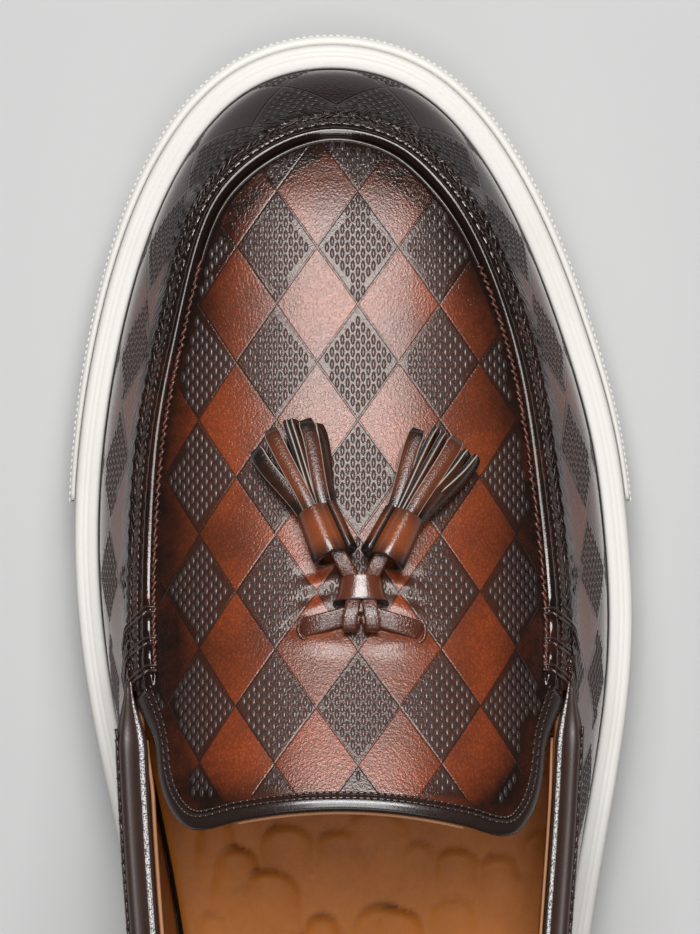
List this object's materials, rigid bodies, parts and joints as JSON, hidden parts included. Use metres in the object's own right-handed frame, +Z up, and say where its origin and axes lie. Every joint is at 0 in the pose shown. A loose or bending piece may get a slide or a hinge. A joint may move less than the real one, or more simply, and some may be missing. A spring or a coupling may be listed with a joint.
{
  "type": "tassel loafer",
  "caption": "Slip-on tassel loafer: hollow leather upper with raised moccasin seam, tongue and padded collar, thong-tied tassels, on a white rubber cup sole with ribbed toe bumper.",
  "frame": {"origin": "centre of the shoe's bounding box in plan, on the floor plane that heel and forefoot rest on", "axes": "+Y towards the toe, +X towards the outer side of the right foot, +Z up"},
  "size_m": [0.1103, 0.296, 0.0882],
  "materials": {
    "sole_rubber": "matte white",
    "footbed": "tan, matte, bumpy",
    "upper_leather": "burnished brown, smooth and seed-stamped lozenges, satin",
    "binding": "near-black brown, polished",
    "thong": "dark brown, satin",
    "tassel": "dark brown, satin with pale cut edges"
  },
  "bodies": {
    "root": {"sole": "sole_rubber", "toe_bumper": "sole_rubber", "insole": "footbed", "upper": "upper_leather", "collar_roll": "binding", "tongue_binding": "binding", "tassel_tie": "thong", "knot_band": "thong", "tassel_medial": "tassel", "tassel_lateral": "tassel"}
  },
  "joints": []
}
